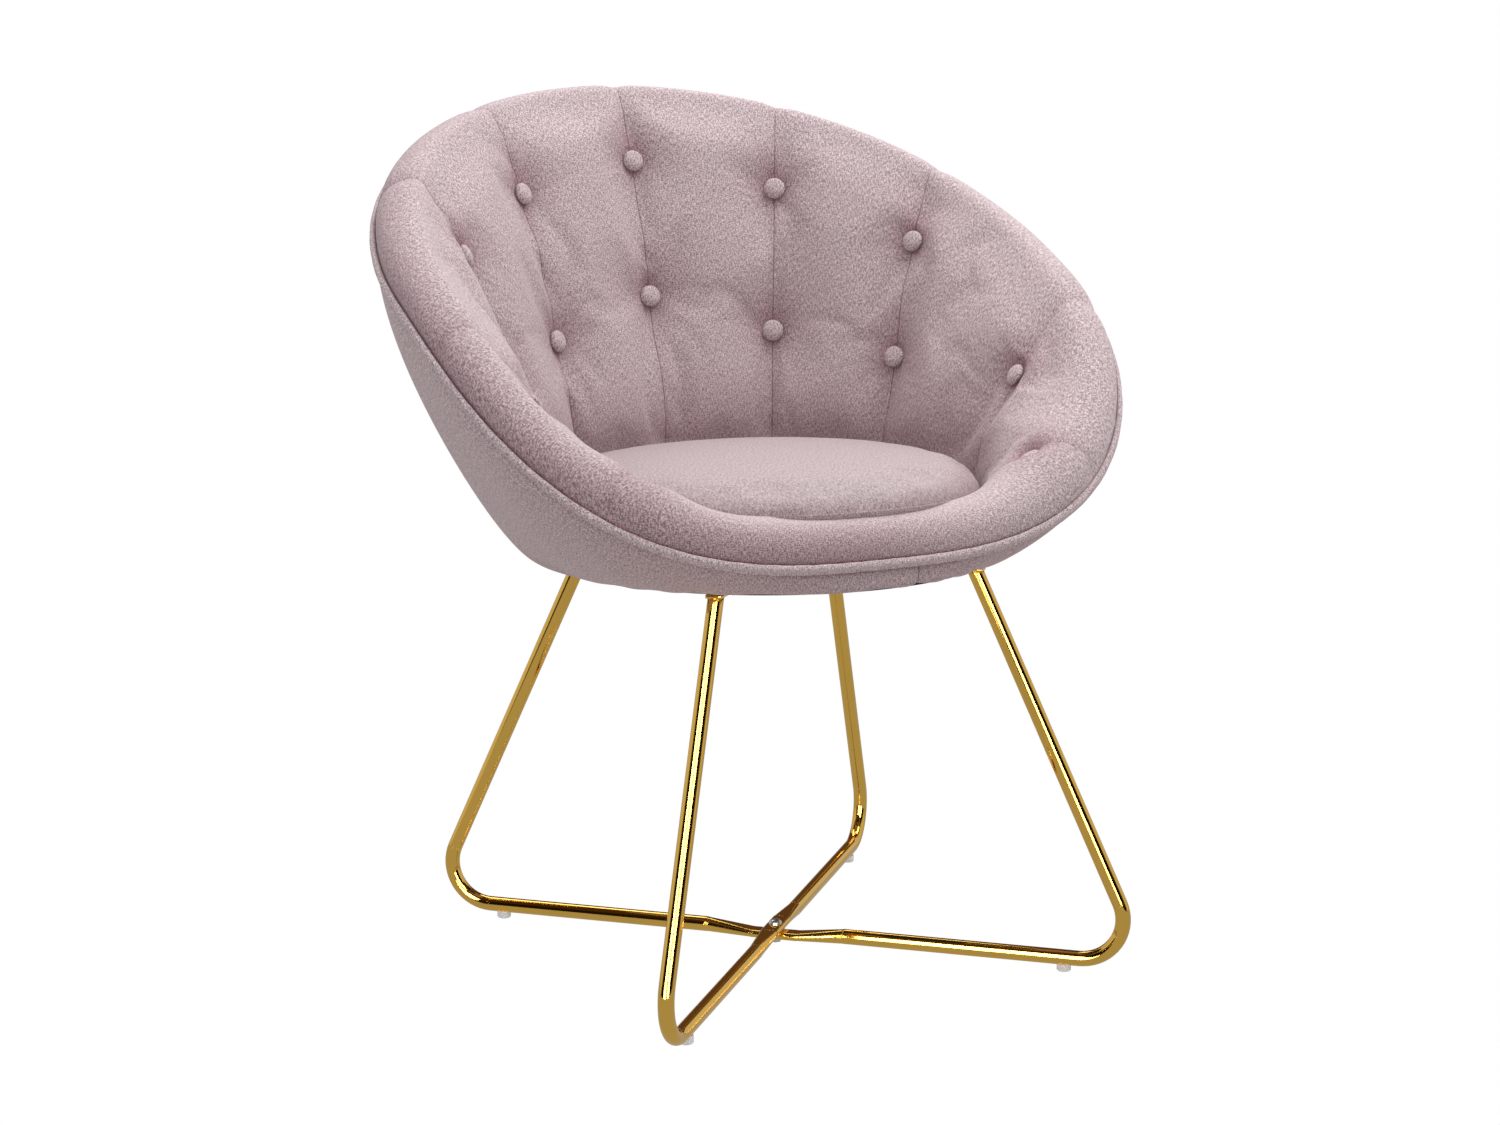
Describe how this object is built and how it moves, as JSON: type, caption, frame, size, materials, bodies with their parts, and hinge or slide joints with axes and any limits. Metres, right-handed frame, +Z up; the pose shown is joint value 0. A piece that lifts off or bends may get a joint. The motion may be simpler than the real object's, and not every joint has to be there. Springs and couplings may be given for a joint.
{
  "type": "tub chair",
  "caption": "Upholstered tub chair with a button-tufted back, a domed round seat cushion and crossed U-frames of bent tube.",
  "frame": {"origin": "middle of the whole chair's footprint, on the floor", "axes": "+Z up, the sitter faces -Y, +X is to the sitter's left"},
  "size_m": [0.6926, 0.6073, 0.79],
  "materials": {
    "tub_fabric": "heathered plain weave, dusty rose",
    "piping_fabric": "heathered plain weave, dusty rose",
    "cushion_fabric": "heathered plain weave, dusty rose",
    "button_fabric": "heathered plain weave, dusty rose",
    "foam": "open-cell foam",
    "plywood": "raw plywood",
    "gold_tube": "polished, gold-coloured plating",
    "fastener_steel": "zinc plated",
    "clear_plastic": "clear, slightly cloudy",
    "dust_cloth": "non-woven, matte",
    "cord": "twisted cord"
  },
  "bodies": {
    "root": {"outer_cover": "tub_fabric", "inner_cover": "tub_fabric", "rim_piping": "piping_fabric", "tub_padding": "foam", "wall_shell": "plywood", "seat_board": "plywood", "shell_screws": "fastener_steel", "tufting_cords": "cord", "button_upper_c": "button_fabric", "button_lower_c": "button_fabric", "button_upper_l1": "button_fabric", "button_upper_r1": "button_fabric", "button_lower_l1": "button_fabric", "button_lower_r1": "button_fabric", "button_upper_l2": "button_fabric", "button_upper_r2": "button_fabric", "button_lower_l2": "button_fabric", "button_lower_r2": "button_fabric", "button_arm_l3": "button_fabric", "button_arm_r3": "button_fabric", "button_arm_l4": "button_fabric", "button_arm_r4": "button_fabric", "cushion_board": "plywood", "cushion_foam": "foam", "cushion_cover": "cushion_fabric", "cushion_screws": "fastener_steel", "dust_cover": "dust_cloth", "mount_plate_fl": "gold_tube", "mount_plate_fr": "gold_tube", "mount_plate_bl": "gold_tube", "mount_plate_br": "gold_tube", "mount_bolts": "fastener_steel", "mount_washers": "fastener_steel", "t_nuts": "fastener_steel", "leg_frame_lower": "gold_tube", "leg_frame_upper": "gold_tube", "cross_bolt": "fastener_steel", "cross_nut": "fastener_steel", "glide_fl": "clear_plastic", "glide_fr": "clear_plastic", "glide_bl": "clear_plastic", "glide_br": "clear_plastic"}
  },
  "joints": []
}
